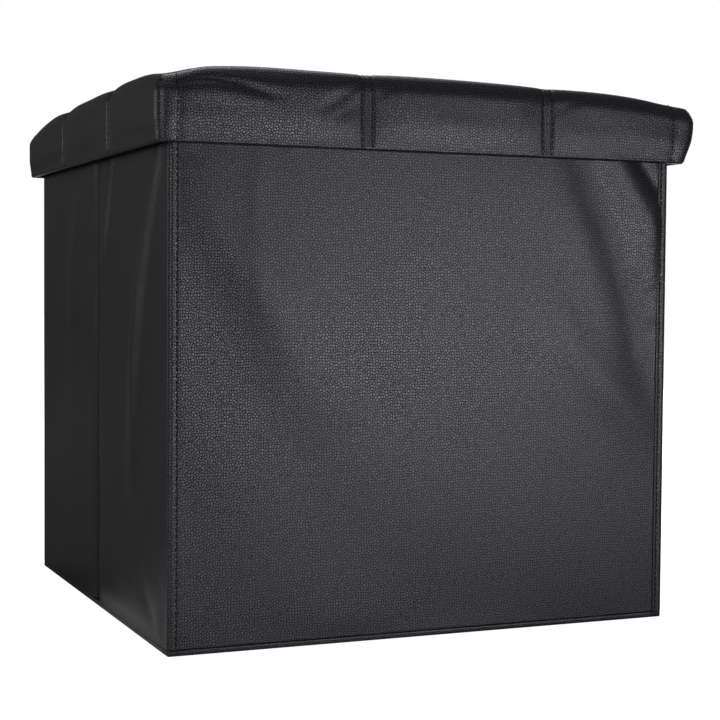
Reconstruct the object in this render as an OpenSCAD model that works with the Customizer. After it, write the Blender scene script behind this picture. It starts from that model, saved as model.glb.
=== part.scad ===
// Folding storage ottoman: a cube of covered boards with a quilted lift-off lid.
// Millimetres, +Z up. The origin is on the floor at the centre of the base; the front wall faces -Y.

/* [Overall] */
// Width and depth over the lid
lid_w = 380; // [300:1:450]
// Height from the floor to the top of the pad
total_h = 368; // [300:1:430]
// How far the lid stands out past each wall
lid_overhang = 9; // [7:0.5:14]

/* [Walls] */
// Thickness of a wall board
wall_board_t = 4; // [3:0.5:6]
// Width of the sewn lap at each upright corner
lap_w = 8; // [5:0.5:15]

/* [Lid] */
// Height of the straight part of the skirt
skirt_h = 36; // [25:1:60]
// Depth of the hollow under the lid
lid_depth = 22; // [16:1:40]
// Thickness of the lid's top board and skirt boards
lid_board_t = 3; // [2:0.5:6]
// Radius of the pad's rounded upper edge
edge_r = 13; // [8:0.5:20]
// Where the left quilting seam crosses the front of the lid, from its middle
seam_left_x = -52; // [-100:1:-20]
// Where the right quilting seam crosses the front of the lid, from its middle
seam_right_x = 80; // [20:1:100]
// How far the two seams along the lid's sides lie from its middle
seam_side_y = 68; // [20:1:100]

/* [Base] */
// Thickness of the loose base board
base_board_t = 2.5; // [2:0.1:4]

/* [Hidden] */
$fn = 64;

// Sheet thicknesses: leathercloth outside, non-woven cloth inside
skin_t = 1.2;
lining_t = 0.8;
lap_t = 0.8;
// Clearance at a wall's end, between it and the wall it swings from
end_gap = 0.5;
// Clearance under and over the swinging walls
swing_gap = 0.4;
lid_rest_gap = 1;

// Wall thickness and the square that the walls stand on
wall_t = skin_t + wall_board_t + lining_t;
half_out = lid_w / 2 - lid_overhang;
half_in = half_out - wall_t;

// Heights, from the floor up
cloth_t = 0.8;
base_board_z = cloth_t;
base_cover_z = base_board_z + base_board_t;
base_top = base_cover_z + lining_t;
wall_z = base_top + swing_gap;
skirt_z = total_h - edge_r - skirt_h;
lid_under_z = skirt_z + lid_depth;
wall_top = lid_under_z - lid_rest_gap;
wall_h = wall_top - wall_z;
lid_board_z = lid_under_z + lining_t;
foam_z = lid_board_z + lid_board_t;

// Lid plan sizes, from the outside in
half_lid = lid_w / 2;
lid_corner_r = 8;
half_lid_core = half_lid - skin_t;
half_skirt_in = half_lid_core - lid_board_t;
half_lid_in = half_skirt_in - lining_t;

// Turned-in edge of the cover under and inside the skirt
hem_t = 1;
hem_h = 15;

// Quilting: the outer cells are cut a little wider than the lid
seam_gap = 0.6;
cell_end = half_lid + 1;
cuts_x = [-cell_end, seam_left_x, seam_right_x, cell_end];
cuts_y = [-cell_end, -seam_side_y, seam_side_y, cell_end];

// Staples that hold the turned-in edge
staple_w = 10;
staple_wire = 0.5;
staples_per_side = 5;
staple_pitch = 70;
staple_z = skirt_z + 9;

// Side walls: each half runs from a corner to the fold in the middle
half_wall_l = half_in - 2 * end_gap;

leathercloth = [0.16, 0.16, 0.17];
seam_colour = [0.22, 0.22, 0.23];
cloth_colour = [0.32, 0.32, 0.34];
wood_colour = [0.72, 0.58, 0.42];
foam_colour = [0.93, 0.88, 0.70];
steel_colour = [0.75, 0.75, 0.78];

// A plate centred on the Z axis, from z up
module plate(half, z, h) {
    translate([-half, -half, z]) cube([2 * half, 2 * half, h]);
}

// A square ring between two half widths
module ring(half_a, half_b, z, h) {
    difference() {
        plate(half_a, z, h);
        plate(half_b, z - 1, h + 2);
    }
}

// One covered wall lies along +X from 0 to w, with its outer face at y = 0 and its inner face at y = wall_t.
module wall_skin(w) {
    color(leathercloth)
    translate([0, 0, wall_z])
    difference() {
        cube([w, wall_t, wall_h]);
        translate([skin_t, skin_t, skin_t]) cube([w - 2 * skin_t, wall_t, wall_h - 2 * skin_t]);
    }
}

module wall_board(w) {
    color(wood_colour)
    translate([skin_t, skin_t, wall_z + skin_t])
    cube([w - 2 * skin_t, wall_board_t, wall_h - 2 * skin_t]);
}

module wall_lining(w) {
    color(cloth_colour)
    translate([skin_t, skin_t + wall_board_t, wall_z + skin_t])
    cube([w - 2 * skin_t, lining_t, wall_h - 2 * skin_t]);
}

// The overlapping edge of the side cloth, sewn down on a front or back wall
module wall_lap(x) {
    color(seam_colour)
    translate([x, -lap_t, wall_z])
    cube([lap_w, lap_t, wall_h]);
}

// Places: each puts a wall that was drawn along +X where it stands
module at_front() {
    translate([-half_out, -half_out, 0]) children();
}

module at_back() {
    rotate([0, 0, 180]) at_front() children();
}

module at_left_front() {
    translate([-half_out, -end_gap, 0]) rotate([0, 0, -90]) children();
}

module at_left_rear() {
    translate([-half_out, half_in - end_gap, 0]) rotate([0, 0, -90]) children();
}

module at_right_rear() {
    rotate([0, 0, 180]) at_left_front() children();
}

module at_right_front() {
    rotate([0, 0, 180]) at_left_rear() children();
}

// Bottom cloth with its short upturned rim
module bottom_cloth() {
    color(leathercloth)
    difference() {
        plate(half_out, 0, base_top);
        plate(half_out - skin_t, cloth_t, base_top);
    }
}

module base_board() {
    color(wood_colour)
    plate(half_in - end_gap, base_board_z, base_board_t);
}

module base_cover() {
    color(cloth_colour)
    plate(half_in - end_gap, base_cover_z, lining_t);
}

// Square with rounded corners, drawn flat
module rounded_square(half, r) {
    square([2 * half, 2 * (half - r)], center = true);
    square([2 * (half - r), 2 * half], center = true);
    for (sx = [-1, 1])
        for (sy = [-1, 1])
            translate([sx * (half - r), sy * (half - r)]) circle(r = r);
}

// Outline of a pad seen from one side: straight below, rounded along the upper edge
module pad_outline(half, z, top, r) {
    translate([-half, z]) square([2 * half, top - z - r]);
    translate([-half + r, z]) square([2 * (half - r), top - z]);
    for (s = [-1, 1])
        translate([s * (half - r), top - r]) circle(r = r);
}

// Block rounded at its upright corners and along its upper edges
module pad_block(half, z, top, corner_r, r) {
    intersection() {
        translate([0, 0, z]) linear_extrude(top - z) rounded_square(half, corner_r);
        rotate([90, 0, 0]) linear_extrude(2 * half + 2, center = true) pad_outline(half, z, top, r);
        rotate([90, 0, 90]) linear_extrude(2 * half + 2, center = true) pad_outline(half, z, top, r);
    }
}

module lid_core_plan(z, h) {
    translate([0, 0, z]) linear_extrude(h) rounded_square(half_lid_core, lid_corner_r - skin_t);
}

module lid_board() {
    color(wood_colour)
    lid_core_plan(lid_board_z, lid_board_t);
}

// Skirt boards: the front and back ones run the full width, the side ones fit between them
module long_skirt() {
    color(wood_colour)
    intersection() {
        lid_core_plan(skirt_z + hem_t, lid_board_z - skirt_z - hem_t);
        translate([-half_lid, -half_lid_core, 0]) cube([lid_w, lid_board_t, total_h]);
    }
}

module side_skirt() {
    color(wood_colour)
    intersection() {
        lid_core_plan(skirt_z + hem_t, lid_board_z - skirt_z - hem_t);
        translate([-half_lid_core, -half_skirt_in, 0]) cube([lid_board_t, 2 * half_skirt_in, total_h]);
    }
}

module lid_foam() {
    color(foam_colour)
    pad_block(half_lid_core, foam_z, total_h - skin_t, lid_corner_r - skin_t, edge_r - skin_t);
}

// Lining under the lid board and down to the turned-in edge
module lid_lining() {
    color(cloth_colour)
    union() {
        plate(half_skirt_in, lid_under_z, lining_t);
        ring(half_skirt_in, half_lid_in, skirt_z + hem_h, lid_under_z - skirt_z - hem_h);
    }
}

// Whole cover: over the pad, down the skirt, under its edge and up inside
module cover_shell() {
    difference() {
        pad_block(half_lid, skirt_z, total_h, lid_corner_r, edge_r);
        pad_block(half_lid_core, skirt_z + hem_t, total_h - skin_t, lid_corner_r - skin_t, edge_r - skin_t);
        plate(half_lid_in, skirt_z - 1, hem_t + 2);
    }
    ring(half_skirt_in, half_lid_in, skirt_z, hem_h);
}

// One of the nine patches; columns run from the left and rows from the front, both from 0 to 2
module lid_patch(column, row) {
    color(leathercloth)
    intersection() {
        cover_shell();
        translate([cuts_x[column] + seam_gap / 2, cuts_y[row] + seam_gap / 2, 0])
            cube([
                cuts_x[column + 1] - cuts_x[column] - seam_gap,
                cuts_y[row + 1] - cuts_y[row] - seam_gap,
                total_h + 1
            ]);
    }
}

// Crowns of the staples, in a row inside each skirt board
module lid_staples() {
    color(steel_colour)
    for (turn = [0 : 90 : 270])
        rotate([0, 0, turn])
            for (i = [0 : staples_per_side - 1])
                translate([
                    (i - (staples_per_side - 1) / 2) * staple_pitch - staple_w / 2,
                    -half_lid_in,
                    staple_z
                ])
                    cube([staple_w, staple_wire, staple_wire]);
}

at_back() wall_board(2 * half_out);  // back_board
at_back() wall_skin(2 * half_out);  // back_skin
at_back() wall_lining(2 * half_out);  // back_lining
at_back() wall_lap(2 * half_out - lap_w);  // back_left_lap
at_back() wall_lap(0);  // back_right_lap
bottom_cloth();
base_board();
base_cover();
at_left_rear() wall_board(half_wall_l);  // left_rear_board
at_left_rear() wall_skin(half_wall_l);  // left_rear_skin
at_left_rear() wall_lining(half_wall_l);  // left_rear_lining
at_left_front() wall_board(half_wall_l);  // left_front_board
at_left_front() wall_skin(half_wall_l);  // left_front_skin
at_left_front() wall_lining(half_wall_l);  // left_front_lining
at_right_rear() wall_board(half_wall_l);  // right_rear_board
at_right_rear() wall_skin(half_wall_l);  // right_rear_skin
at_right_rear() wall_lining(half_wall_l);  // right_rear_lining
at_right_front() wall_board(half_wall_l);  // right_front_board
at_right_front() wall_skin(half_wall_l);  // right_front_skin
at_right_front() wall_lining(half_wall_l);  // right_front_lining
at_front() wall_board(2 * half_out);  // front_board
at_front() wall_skin(2 * half_out);  // front_skin
at_front() wall_lining(2 * half_out);  // front_lining
at_front() wall_lap(0);  // front_left_lap
at_front() wall_lap(2 * half_out - lap_w);  // front_right_lap
lid_board();
long_skirt();  // lid_skirt_front
rotate([0, 0, 180]) long_skirt();  // lid_skirt_back
side_skirt();  // lid_skirt_left
rotate([0, 0, 180]) side_skirt();  // lid_skirt_right
lid_foam();
lid_lining();
lid_staples();
lid_patch(0, 0);  // lid_patch_front_left
lid_patch(1, 0);  // lid_patch_front_mid
lid_patch(2, 0);  // lid_patch_front_right
lid_patch(0, 1);  // lid_patch_mid_left
lid_patch(1, 1);  // lid_patch_centre
lid_patch(2, 1);  // lid_patch_mid_right
lid_patch(0, 2);  // lid_patch_back_left
lid_patch(1, 2);  // lid_patch_back_mid
lid_patch(2, 2);  // lid_patch_back_right
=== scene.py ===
# %% [markdown]
# # Folding storage ottoman
# A cube of boards covered in black leathercloth, with a quilted lid that lifts off. The side walls fold
# inward along a pressed line, so the empty box packs flat. Everything is in metres, in the frame of the CAD
# part: the origin is on the floor under the middle, the front wall faces -Y and +Z is up.

import math

import bmesh
import bpy
import numpy as np
from mathutils import Matrix, Vector
from mathutils.bvhtree import BVHTree


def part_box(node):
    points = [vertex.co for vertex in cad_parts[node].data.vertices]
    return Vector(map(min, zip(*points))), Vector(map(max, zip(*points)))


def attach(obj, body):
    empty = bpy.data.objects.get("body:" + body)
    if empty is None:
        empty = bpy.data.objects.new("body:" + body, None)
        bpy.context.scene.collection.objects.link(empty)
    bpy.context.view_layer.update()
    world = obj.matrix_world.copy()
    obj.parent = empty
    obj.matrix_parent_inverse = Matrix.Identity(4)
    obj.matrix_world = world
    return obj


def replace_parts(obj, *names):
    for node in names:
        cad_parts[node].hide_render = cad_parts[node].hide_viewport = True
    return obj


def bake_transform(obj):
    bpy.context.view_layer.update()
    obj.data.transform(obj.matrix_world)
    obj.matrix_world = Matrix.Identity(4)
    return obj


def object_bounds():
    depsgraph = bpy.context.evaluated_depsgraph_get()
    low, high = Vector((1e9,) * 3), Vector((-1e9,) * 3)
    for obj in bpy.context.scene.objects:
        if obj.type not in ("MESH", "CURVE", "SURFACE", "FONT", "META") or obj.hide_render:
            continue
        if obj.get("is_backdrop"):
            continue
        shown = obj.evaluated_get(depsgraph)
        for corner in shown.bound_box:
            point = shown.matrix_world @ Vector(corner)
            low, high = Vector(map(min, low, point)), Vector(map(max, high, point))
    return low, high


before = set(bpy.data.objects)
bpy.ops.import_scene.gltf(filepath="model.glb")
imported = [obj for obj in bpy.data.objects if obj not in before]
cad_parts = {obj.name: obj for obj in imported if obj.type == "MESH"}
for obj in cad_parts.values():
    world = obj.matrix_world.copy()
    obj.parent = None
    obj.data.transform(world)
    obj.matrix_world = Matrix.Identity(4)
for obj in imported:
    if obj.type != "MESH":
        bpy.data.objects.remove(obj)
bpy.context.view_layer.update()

# %% [markdown]
# ## Sizes
# The sizes come from the CAD solids, so the looks and the mechanism always agree. The few that the solids
# don't hold, such as the length of a stitch, are ordinary values for goods of this kind.

# %% Sizes
MM = 0.001
front_low, front_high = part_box("front_skin")
lap_low, lap_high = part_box("front_left_lap")
_, rim_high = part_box("bottom_cloth")
base_low, base_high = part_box("base_cover")
lid_low, lid_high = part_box("lid_patch_front_left")
mid_low, mid_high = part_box("lid_patch_centre")
_, hem_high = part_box("lid_lining")

WALL = front_high.x
WALL_T = front_high.y - front_low.y
WALL_Z = front_low.z
WALL_TOP = front_high.z
LAP_W = lap_high.x - lap_low.x
LAP_T = lap_high.y - lap_low.y
LID = -lid_low.x
LID_Z = lid_low.z
LID_TOP = lid_high.z
LID_IN = hem_high.x
SEAMS_X = (mid_low.x, mid_high.x)
SEAMS_Y = (mid_low.y, mid_high.y)
print("wall half width", WALL, "lid half width", LID, "lid seams", SEAMS_X, SEAMS_Y)

# %% [markdown]
# ## Materials
# The leathercloth is a soft vinyl skin with a pebble grain pressed into it. The grain is a field of cells,
# each about 2 mm wide, with fine creases between them, so it is made by a Voronoi texture, as a bump and as
# a change of specular level. The creases also get painted shade: a darker colour and a lower specular level.
# The pattern runs along the wall and up where the cloth stands, and in plan where it lies. The lining is
# non-woven cloth: pressed fibres with no weave, so plain noise does it.


# %% Material helpers
def new_material(name, colour, roughness):
    """A node material with a Principled shader and a bump, and the nodes that a cell below fills in."""
    material = bpy.data.materials.new(name)
    material.use_nodes = True
    nodes = material.node_tree.nodes
    shader = nodes["Principled BSDF"]
    shader.inputs["Base Color"].default_value = (*colour, 1)
    shader.inputs["Roughness"].default_value = roughness
    bump = nodes.new("ShaderNodeBump")
    coordinates = nodes.new("ShaderNodeTexCoord")
    material.node_tree.links.new(bump.outputs["Normal"], shader.inputs["Normal"])
    return material, nodes, material.node_tree.links, shader, bump, coordinates


def noise_node(nodes, links, coordinates, scale, detail):
    """Noise over the piece's own coordinates."""
    noise = nodes.new("ShaderNodeTexNoise")
    noise.inputs["Scale"].default_value = scale
    noise.inputs["Detail"].default_value = detail
    links.new(coordinates.outputs["Object"], noise.inputs["Vector"])
    return noise


def math_node(nodes, operation):
    """A Math node for one operation."""
    node = nodes.new("ShaderNodeMath")
    node.operation = operation
    return node


def map_range(nodes, links, source, limits, results):
    """A value that goes from one result to the other while the source goes from one limit to the other."""
    node = nodes.new("ShaderNodeMapRange")
    node.inputs["From Min"].default_value, node.inputs["From Max"].default_value = limits
    node.inputs["To Min"].default_value, node.inputs["To Max"].default_value = results
    links.new(source, node.inputs["Value"])
    return node.outputs["Result"]


# %% Leathercloth
LIES_FROM = 0.72
CELLS_PER_METRE = 560
CELL_CHAOS = 0.85
CREASE_SHARE = 0.33
GRAIN_DEPTH = 0.12 * MM
# Specular level in the creases and on the cells; the low value in the creases is painted shade.
SHINE_WITH_CREASE_SHADE = (0.15, 0.8)


def cloth_plane(nodes, links, coordinates):
    """Flat pattern coordinates: along the wall and up where the cloth stands, and in plan where it lies."""
    place, normal = nodes.new("ShaderNodeSeparateXYZ"), nodes.new("ShaderNodeSeparateXYZ")
    links.new(coordinates.outputs["Object"], place.inputs["Vector"])
    links.new(coordinates.outputs["Normal"], normal.inputs["Vector"])
    facing = {}
    for axis in "XYZ":
        facing[axis] = math_node(nodes, "ABSOLUTE")
        links.new(normal.outputs[axis], facing[axis].inputs[0])
    is_side, lies = math_node(nodes, "GREATER_THAN"), math_node(nodes, "GREATER_THAN")
    links.new(facing["X"].outputs["Value"], is_side.inputs[0])
    links.new(facing["Y"].outputs["Value"], is_side.inputs[1])
    links.new(facing["Z"].outputs["Value"], lies.inputs[0])
    lies.inputs[1].default_value = LIES_FROM
    along = nodes.new("ShaderNodeMix")
    links.new(is_side.outputs["Value"], along.inputs["Factor"])
    links.new(place.outputs["X"], along.inputs["A"])
    links.new(place.outputs["Y"], along.inputs["B"])
    standing, lying = nodes.new("ShaderNodeCombineXYZ"), nodes.new("ShaderNodeCombineXYZ")
    links.new(along.outputs["Result"], standing.inputs["X"])
    links.new(place.outputs["Z"], standing.inputs["Y"])
    links.new(place.outputs["X"], lying.inputs["X"])
    links.new(place.outputs["Y"], lying.inputs["Y"])
    chosen = nodes.new("ShaderNodeMix")
    chosen.data_type = "VECTOR"
    links.new(lies.outputs["Value"], chosen.inputs["Factor"])
    links.new(standing.outputs["Vector"], chosen.inputs["A"])
    links.new(lying.outputs["Vector"], chosen.inputs["B"])
    return chosen.outputs["Result"]


def leathercloth(name, crease_shade_colour, colour, roughness):
    """Pebbled vinyl: raised, shiny cells with creases between them, where painted shade makes the colour
    darker and the specular level lower.
    """
    material, nodes, links, shader, bump, coordinates = new_material(name, colour, roughness)
    shader.inputs["IOR"].default_value = 1.5
    shader.inputs["Specular Tint"].default_value = (0.91, 0.90, 1.0, 1)
    cells = nodes.new("ShaderNodeTexVoronoi")
    cells.voronoi_dimensions = "2D"
    cells.feature = "DISTANCE_TO_EDGE"
    cells.inputs["Scale"].default_value = CELLS_PER_METRE
    cells.inputs["Randomness"].default_value = CELL_CHAOS
    links.new(cloth_plane(nodes, links, coordinates), cells.inputs["Vector"])
    pebble = nodes.new("ShaderNodeMapRange")
    pebble.interpolation_type = "SMOOTHSTEP"
    pebble.inputs["From Max"].default_value = CREASE_SHARE
    links.new(cells.outputs["Distance"], pebble.inputs["Value"])
    # Painted shade: the creases get a darker base colour than the cells.
    tone = nodes.new("ShaderNodeMix")
    tone.data_type = "RGBA"
    tone.inputs["A"].default_value = (*crease_shade_colour, 1)
    tone.inputs["B"].default_value = (*colour, 1)
    links.new(pebble.outputs["Result"], tone.inputs["Factor"])
    links.new(tone.outputs["Result"], shader.inputs["Base Color"])
    # The lower specular level in the creases is painted shade.
    specular_with_crease_shade = map_range(nodes, links, pebble.outputs["Result"], (0, 1), SHINE_WITH_CREASE_SHADE)
    links.new(specular_with_crease_shade, shader.inputs["Specular IOR Level"])
    bump.inputs["Strength"].default_value = 0.5
    bump.inputs["Distance"].default_value = GRAIN_DEPTH
    links.new(pebble.outputs["Result"], bump.inputs["Height"])
    return material


# The first colour is painted shade for the creases, the second is the cloth's own colour.
leather = leathercloth("leathercloth", (0.0055, 0.0055, 0.0065), (0.012, 0.012, 0.014), 0.38)
print("made", leather.name)


# %% Lining, thread, board and steel
def plain(name, colour, roughness, scale, strength, depth):
    """A material with a fine noise bump."""
    material, nodes, links, shader, bump, coordinates = new_material(name, colour, roughness)
    noise = noise_node(nodes, links, coordinates, scale, 3)
    bump.inputs["Strength"].default_value = strength
    bump.inputs["Distance"].default_value = depth
    links.new(noise.outputs["Fac"], bump.inputs["Height"])
    return material


lining = plain("non_woven_lining", (0.022, 0.022, 0.024), 0.92, 1400, 0.6, 0.2 * MM)
thread = plain("thread", (0.004, 0.004, 0.0045), 0.7, 3000, 0.4, 0.05 * MM)
thread.node_tree.nodes["Principled BSDF"].inputs["Specular IOR Level"].default_value = 0.15
board = plain("board", (0.36, 0.25, 0.15), 0.7, 900, 0.3, 0.1 * MM)
steel = plain("staple_steel", (0.55, 0.55, 0.57), 0.35, 2500, 0.1, 0.02 * MM)
steel.node_tree.nodes["Principled BSDF"].inputs["Metallic"].default_value = 1.0
board_nodes = [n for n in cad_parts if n.endswith("_board") or n.startswith("lid_skirt")]
print("materials made; boards:", len(board_nodes))

# %% [markdown]
# ## Tools for sewn sheets
# Every wall is a sheet of leathercloth stretched over a board. Its outline can be traced like a tailor's
# pattern: a list of straight runs and turns. One trace goes round the box, seen from above, and a second
# one goes over the board from its lower edge to its upper edge. The sheet is the product of the two, so its
# edges roll over as the real cloth does, and the closed shell gets a real thickness.


# %% Traces and grids
def trace(start, heading, moves, distances):
    """Points and outward directions at distances along a path of (length, turn) moves, anticlockwise."""
    points, outward = [], []
    for distance in distances:
        at, angle, left = np.array(start, float), heading, distance
        for length, turn in moves:
            run = min(left, length)
            if turn:
                radius = length / turn
                centre = at + radius * np.array((-math.sin(angle), math.cos(angle)))
                angle += turn * run / length
                at = centre + radius * np.array((math.sin(angle), -math.cos(angle)))
            else:
                at = at + run * np.array((math.cos(angle), math.sin(angle)))
            left -= run
            if left <= 1e-9:
                break
        points.append(at)
        outward.append((math.sin(angle), -math.cos(angle)))
    return np.array(points), np.array(outward)


def marks(low, high, step, fine=()):
    """Values from low to high, step apart, and closer together in each (from, to, step) stretch of fine."""
    values = list(np.linspace(low, high, max(2, round((high - low) / step) + 1)))
    for start, end, small in fine:
        values = [v for v in values if v < start - small / 2 or v > end + small / 2]
        values += list(np.linspace(start, end, round((end - start) / small) + 1))
    return np.array(sorted({round(float(v), 7) for v in values if low - 1e-9 <= v <= high + 1e-9}))


def shell_faces(rows, cols):
    """Faces of a closed shell whose points are an outer grid followed by an inner grid of the same shape."""
    index = np.arange(rows * cols).reshape(rows, cols)
    quads = np.stack([index[:-1, :-1], index[:-1, 1:], index[1:, 1:], index[1:, :-1]], -1).reshape(-1, 4)
    border = np.concatenate([index[0, :-1], index[:-1, -1], index[-1, :0:-1], index[:0:-1, 0]])
    after = np.roll(border, -1)
    rim = np.stack([border, border + rows * cols, after + rows * cols, after], -1)
    return np.concatenate([quads, quads[:, ::-1] + rows * cols, rim])


def make_piece(name, points, faces, material):
    """A smooth mesh piece at the origin, with its faces turned outward."""
    mesh = bpy.data.meshes.new(name)
    mesh.from_pydata(np.asarray(points).tolist(), [], [list(face) for face in faces])
    shape = bmesh.new()
    shape.from_mesh(mesh)
    bmesh.ops.recalc_face_normals(shape, faces=shape.faces)
    for face in shape.faces:
        face.smooth = True
    shape.to_mesh(mesh)
    shape.free()
    mesh.materials.append(material)
    piece = bpy.data.objects.new(name, mesh)
    bpy.context.scene.collection.objects.link(piece)
    return piece


print("a shell of 3 by 4 points has", len(shell_faces(3, 4)), "faces")

# %% [markdown]
# ## Slack, creases and dents
# Leathercloth is glued only at its edges, so it ripples over the board. Three kinds of relief are enough: a
# slow random ripple, a crease along a line of points, and a pull toward a seam.


# %% Relief
def ripple(u, v, seed, height, wavelength, waves=9):
    """Slow random relief over a surface, the same for the same seed."""
    chance = np.random.default_rng(seed)
    total = np.zeros_like(u)
    for _ in range(waves):
        angle = chance.uniform(0, math.tau)
        length = wavelength * chance.uniform(0.7, 1.8)
        along = u * math.cos(angle) + v * math.sin(angle)
        total += np.sin(math.tau * along / length + chance.uniform(0, math.tau))
    return height * total / math.sqrt(waves)


def crease(u, v, line, height, width, end_width=None):
    """A ridge along a line of points, or a valley where height is negative, that fades out at both ends."""
    line = np.array(line, float)
    lengths = np.linalg.norm(np.diff(line, axis=0), axis=1)
    whole = lengths.sum()
    best, share = np.full(u.shape, 1e9), np.zeros(u.shape)
    for i, length in enumerate(lengths):
        step = (line[i + 1] - line[i]) / length
        along = np.clip((u - line[i][0]) * step[0] + (v - line[i][1]) * step[1], 0, length)
        gap = np.hypot(u - line[i][0] - along * step[0], v - line[i][1] - along * step[1])
        share = np.where(gap < best, (lengths[:i].sum() + along) / whole, share)
        best = np.minimum(best, gap)
    fade = np.sin(math.pi * np.clip(share, 0.02, 0.98)) ** 0.6
    wide = width + ((end_width or width) - width) * share
    return height * fade * np.exp(-((best / wide) ** 2))


def fades(value, low, high):
    """0 below low, 1 above high, and smooth between."""
    t = np.clip((value - low) / (high - low), 0, 1)
    return t * t * (3 - 2 * t)


def face_window(u, v, low, high, margin):
    """1 over the middle of a wall, falling to 0 at its edges, where the cloth is held."""
    across = fades(u, low[0], low[0] + margin) * (1 - fades(u, high[0] - margin, high[0]))
    return across * fades(v, low[1], low[1] + margin) * (1 - fades(v, high[1] - margin, high[1]))


print("a ripple at the origin:", float(ripple(np.zeros(1), np.zeros(1), 1, 1.0, 0.1)[0]))

# %% [markdown]
# ## The walls' covers
# The cloth of a wall wraps over the upper and lower edges of its board. The front and back covers also wrap
# round the ends. The side cloth runs on past the corner and is lapped over the front or back by a finger's
# width, where one row of stitches holds it. That makes the corner a hinge of cloth.


# %% Profile of a covered board, from its lower edge to its upper edge
QUARTER = math.pi / 2
SKIN = 0.8 * MM
EDGE_R = 0.9 * MM
WRAP = 3.8 * MM
STEP = 2.6 * MM
FINE = 0.45 * MM
LOW_R = 0.35 * MM
COVER_Z = WALL_Z - 0.3 * MM
profile_moves = [
    (WRAP, 0),
    (LOW_R * QUARTER, QUARTER),
    (WALL_TOP - COVER_Z - LOW_R - EDGE_R, 0),
    (EDGE_R * QUARTER, QUARTER),
    (WRAP, 0),
]
profile_length = sum(length for length, turn in profile_moves)
low_roll = (WRAP - 0.2 * MM, WRAP + LOW_R * QUARTER + 0.2 * MM, 0.14 * MM)
high_roll = (profile_length - WRAP - EDGE_R * QUARTER - MM, profile_length - WRAP, FINE)
profile_marks = marks(0, profile_length, STEP, [low_roll, high_roll])
profile, profile_out = trace((-WRAP - LOW_R, COVER_Z), 0, profile_moves, profile_marks)
print("points up a wall:", len(profile_marks))


def cover_sheet(name, start, heading, moves, fine, relief, wrap=None):
    """A closed sheet that follows a plan trace and rolls over a board's edges; slack never hangs below it."""
    length = sum(run for run, turn in moves)
    along = marks(0, length, STEP, fine)
    plan, plan_out = trace(start, heading, moves, along)
    share = np.ones(len(along)) if wrap is None else wrap(plan)
    depth = profile[:, :1] * share[None, :]
    flat = plan[None] + plan_out[None] * depth[..., None]
    height = np.repeat(profile[:, 1:], len(along), 1)
    points = np.concatenate([flat, height[..., None]], -1)
    out_flat = plan_out[None] * profile_out[:, :1, None]
    out_up = np.repeat(profile_out[:, 1:], len(along), 1)
    outward = np.concatenate([out_flat, out_up[..., None]], -1)
    slack = relief(points)
    slack = np.where(slack > 0, slack * (1 - np.clip(-outward[..., 2], 0, 1)), slack)
    outer = points + outward * slack[..., None]
    inner = outer - outward * SKIN
    everything = np.concatenate([outer.reshape(-1, 3), inner.reshape(-1, 3)])
    return make_piece(name, everything, shell_faces(*height.shape), leather)


# %% [markdown]
# ## Front and back covers
# The big front face shows the most slack. A long shallow fold runs down across the left of it, a sharper
# one drops from under the lid near the right-hand corner, and a few small dents lie beside its lower end.


# %% Front and back
END_R = 2.2 * MM
END_IN = 0.4 * MM
end_run = WALL_T - END_IN - END_R
wall_moves = [
    (end_run, 0),
    (END_R * QUARTER, QUARTER),
    (2 * (WALL - LAP_T - END_R), 0),
    (END_R * QUARTER, QUARTER),
    (end_run, 0),
]
wall_length = sum(length for length, turn in wall_moves)
corner_run = end_run + END_R * QUARTER + MM
wall_fine = [(0, corner_run, FINE), (wall_length - corner_run, wall_length, FINE)]
face_low, face_high = (-WALL, COVER_Z), (WALL, WALL_TOP)

LONG_FOLD = [(-0.168, 0.318), (-0.147, 0.266), (-0.113, 0.220), (-0.091, 0.178), (-0.060, 0.132)]
CORNER_VALLEY = [
    (0.100, 0.350),
    (0.114, 0.318),
    (0.134, 0.276),
    (0.151, 0.230),
    (0.162, 0.184),
    (0.176, 0.150),
]
CORNER_RIDGE = [(0.122, 0.345), (0.152, 0.300), (0.170, 0.276), (0.182, 0.262)]
LID_VALLEY = [(0.154, 0.324), (0.168, 0.306), (0.182, 0.290)]
LOW_RIDGE = [(0.088, 0.226), (0.108, 0.190), (0.138, 0.157), (0.174, 0.128)]
UPRIGHT_FOLD = [(-0.122, 0.325), (-0.124, 0.270), (-0.118, 0.215)]
BACK_FOLD = [(0.02, 0.31), (0.07, 0.22), (0.09, 0.12)]
DEEPEST, SOFT = -0.35 * MM, 0.12 * MM
DENTS = [(0.158, 0.238), (0.167, 0.228), (0.161, 0.216), (0.171, 0.206), (0.158, 0.192), (0.170, 0.176)]


def front_relief(points):
    """How far the front cloth stands out from its board, in metres."""
    u, v = points[..., 0], points[..., 2]
    out = ripple(u, v, 3, 0.22 * MM, 0.11)
    out += crease(u, v, LONG_FOLD, 2.0 * MM, 0.018, 0.028)
    out += crease(u, v, CORNER_VALLEY, 2.3 * MM, 0.044, 0.030)
    out += crease(u, v, CORNER_VALLEY, -2.9 * MM, 0.016, 0.017)
    out += crease(u, v, CORNER_RIDGE, 1.9 * MM, 0.011)
    out += crease(u, v, LID_VALLEY, -1.3 * MM, 0.0045)
    out += crease(u, v, LOW_RIDGE, 1.6 * MM, 0.015)
    out += crease(u, v, UPRIGHT_FOLD, 0.5 * MM, 0.006)
    for x, z in DENTS:
        out += crease(u, v, [(x - 0.008, z - 0.003), (x + 0.008, z + 0.004)], -0.8 * MM, 0.0034)
    out = DEEPEST + np.log1p(np.exp((out - DEEPEST) / SOFT)) * SOFT
    return out * face_window(u, v, face_low, face_high, 0.012)


def back_relief(points):
    """The back cloth lies nearly flat."""
    u, v = -points[..., 0], points[..., 2]
    out = ripple(u, v, 8, 0.3 * MM, 0.12) + crease(u, v, BACK_FOLD, 1.1 * MM, 0.02)
    return out * face_window(u, v, face_low, face_high, 0.014)


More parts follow.
